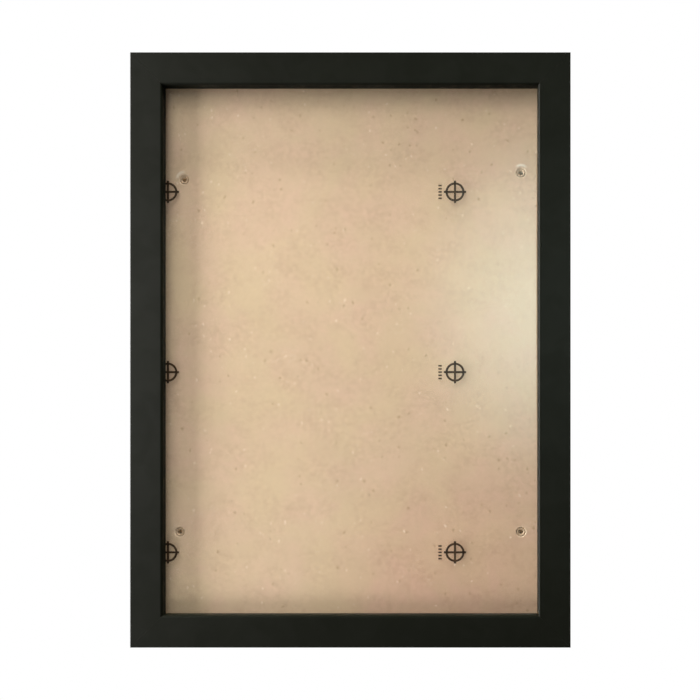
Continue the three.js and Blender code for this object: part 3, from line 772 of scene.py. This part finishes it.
CORNERS = ("top_left", "top_right", "bottom_left", "bottom_right")
zinc = plated_steel(
    "zinc_plate", colour(196, 198, 196), colour(158, 160, 158), colour(232, 232, 228),
    low=0.30, high=0.46, stain_size=0.004, wear=0.7,
)
rivet_metal = plated_steel(
    "rivet_zinc", colour(190, 190, 186), colour(150, 148, 142), colour(224, 224, 220),
    low=0.34, high=0.50, stain_size=0.002, wear=0.4,
    dust_depth=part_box("backing_board")[1].y + 0.3 * MM,
)
blued = plated_steel(
    "blued_steel", colour(70, 72, 80), colour(44, 43, 46), colour(150, 150, 152),
    low=0.28, high=0.48, stain_size=0.002, wear=0.5,
)
brass = plated_steel(
    "brass_plate", colour(214, 180, 104), colour(190, 154, 84), colour(240, 214, 150),
    low=0.26, high=0.44, stain_size=0.005, wear=0.7,
)
dress(zinc, *("turn_button_" + corner for corner in CORNERS))
dress(rivet_metal, *("rivet_" + corner for corner in CORNERS))
dress(blued, *(name for name in nodes if "nail" in name))
dress(brass, "portrait_hanger", "landscape_hanger")
print("metal finishes:", zinc.name, rivet_metal.name, blued.name, brass.name)

# %% [markdown]
# ## The printed marks on the film
#
# The film carries a small printed mark in two columns and three rows, and the lip hides part of the left
# column. Each mark here is a plain ring with a cross and a row of ticks, as printers use to line up a
# sheet. They repeat, so Geometry Nodes make them: one mark is built from a ring and thin bars, a grid
# of two by three points carries a copy each, and the copies are made real and given their ink. The ink
# lies on the film's back, where a print is kept from rubbing off.

# %% The tree of printed marks
marks_tree = bpy.data.node_groups.new("printed marks", "GeometryNodeTree")
MARK_SIZES = {
    "Ring Radius": 4.64 * MM, "Line Width": 1.2 * MM, "Bar Length": 12.3 * MM, "Ink": 0.02 * MM,
    "Tick Length": 1.9 * MM, "Tick Gap": 1.75 * MM, "Tick Offset": -8.2 * MM,
    "Column Gap": 157.7 * MM, "Row Gap": 99.0 * MM,
}
for label, value in MARK_SIZES.items():
    socket = marks_tree.interface.new_socket(label, in_out="INPUT", socket_type="NodeSocketFloat")
    socket.default_value = value
for label, kind in (("Ticks", "Int"), ("Ink Finish", "Material")):
    marks_tree.interface.new_socket(label, in_out="INPUT", socket_type="NodeSocket" + kind)
marks_tree.interface.new_socket("Geometry", in_out="OUTPUT", socket_type="NodeSocketGeometry")
given = new_node(marks_tree, "NodeGroupInput").outputs


def flat_bar(width, height):
    """A bar of ink in the XY plane, of the given width and height."""
    size = new_node(marks_tree, "ShaderNodeCombineXYZ", {0: width, 1: height, 2: given["Ink"]})
    return new_node(marks_tree, "GeometryNodeMeshCube", {"Size": size.outputs[0]}).outputs["Mesh"]


round_line = new_node(
    marks_tree, "GeometryNodeCurvePrimitiveCircle",
    {"Resolution": 48, "Radius": given["Ring Radius"]},
)
section = new_node(
    marks_tree, "GeometryNodeCurvePrimitiveQuadrilateral",
    {"Width": given["Line Width"], "Height": given["Ink"]},
)
ring = new_node(
    marks_tree, "GeometryNodeCurveToMesh",
    {"Curve": round_line.outputs["Curve"], "Profile Curve": section.outputs["Curve"]},
)
tick_step = new_node(marks_tree, "ShaderNodeCombineXYZ", {1: given["Tick Gap"]})
half_run = maths(marks_tree, "MULTIPLY", maths(marks_tree, "SUBTRACT", given["Ticks"], 1.0), -0.5)
tick_start = new_node(
    marks_tree, "ShaderNodeCombineXYZ",
    {0: given["Tick Offset"], 1: maths(marks_tree, "MULTIPLY", given["Tick Gap"], half_run)},
)
tick_points = new_node(
    marks_tree, "GeometryNodeMeshLine",
    {"Count": given["Ticks"], "Start Location": tick_start.outputs[0], "Offset": tick_step.outputs[0]},
)
tick_width = maths(marks_tree, "MULTIPLY", given["Line Width"], 0.7)
ticks = new_node(
    marks_tree, "GeometryNodeInstanceOnPoints",
    {"Points": tick_points.outputs["Mesh"], "Instance": flat_bar(given["Tick Length"], tick_width)},
)
mark = new_node(marks_tree, "GeometryNodeJoinGeometry")
for part in (
    ticks.outputs["Instances"],
    flat_bar(given["Line Width"], given["Bar Length"]),
    flat_bar(given["Bar Length"], given["Line Width"]),
    ring.outputs["Mesh"],
):
    marks_tree.links.new(part, mark.inputs[0])
grid = new_node(
    marks_tree, "GeometryNodeMeshGrid",
    {"Size X": given["Column Gap"], "Size Y": maths(marks_tree, "MULTIPLY", given["Row Gap"], 2.0),
     "Vertices X": 2, "Vertices Y": 3},
)
copies = new_node(
    marks_tree, "GeometryNodeInstanceOnPoints",
    {"Points": grid.outputs["Mesh"], "Instance": mark.outputs[0]},
)
real = new_node(marks_tree, "GeometryNodeRealizeInstances", {0: copies.outputs[0]})
inked = new_node(
    marks_tree, "GeometryNodeSetMaterial",
    {0: real.outputs[0], "Material": given["Ink Finish"]},
)
new_node(marks_tree, "NodeGroupOutput", {"Geometry": inked.outputs[0]})
print(marks_tree.name, "nodes:", len(marks_tree.nodes))

# %% The marks on the film
def grown(name, tree, values):
    """Runs a Geometry Nodes tree and keeps its result as a plain mesh in a new object."""
    made = bpy.data.objects.new(name, bpy.data.meshes.new(name))
    bpy.context.scene.collection.objects.link(made)
    step = made.modifiers.new("grow", "NODES")
    step.node_group = tree
    for item in tree.interface.items_tree:
        if item.in_out == "INPUT":
            step[item.identifier] = values[item.name]
    graph = bpy.context.evaluated_depsgraph_get()
    mesh = bpy.data.meshes.new_from_object(made.evaluated_get(graph), depsgraph=graph)
    made.modifiers.remove(step)
    made.data = mesh
    return made


ink, tree, shader, place = new_finish("brown_ink", IOR=1.45)
cover = patchy(tree, place, 0.0012)
tree.links.new(layered(tree, cover, colour(46, 30, 16), colour(66, 46, 28)), shader.inputs["Base Color"])
sheen = patchy(tree, place, 0.004, 0.45, 0.60)
tree.links.new(sheen, shader.inputs["Roughness"])
bumped(tree, shader, cover, 0.005 * MM)

MARKS_CENTRE_X = -22 * MM       # midway between the columns
MARKS_CENTRE_Z = -11.6 * MM     # the middle row, from the middle of the frame
marks = grown("film_marks", marks_tree, {**MARK_SIZES, "Ticks": 5, "Ink Finish": ink})
ink_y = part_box("protective_film")[1].y + MARK_SIZES["Ink"] / 2
place_marks = Matrix.Translation((MARKS_CENTRE_X, ink_y, middle.z + MARKS_CENTRE_Z))
marks.data.transform(place_marks @ Matrix.Rotation(math.radians(90), 4, "X"))
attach(marks, "frame")
low, high = marks.bound_box[0], marks.bound_box[6]
print("film_marks, mm:", [round((b - a) / MM, 2) for a, b in zip(low, high)])
print("film_marks, faces:", len(marks.data.polygons))
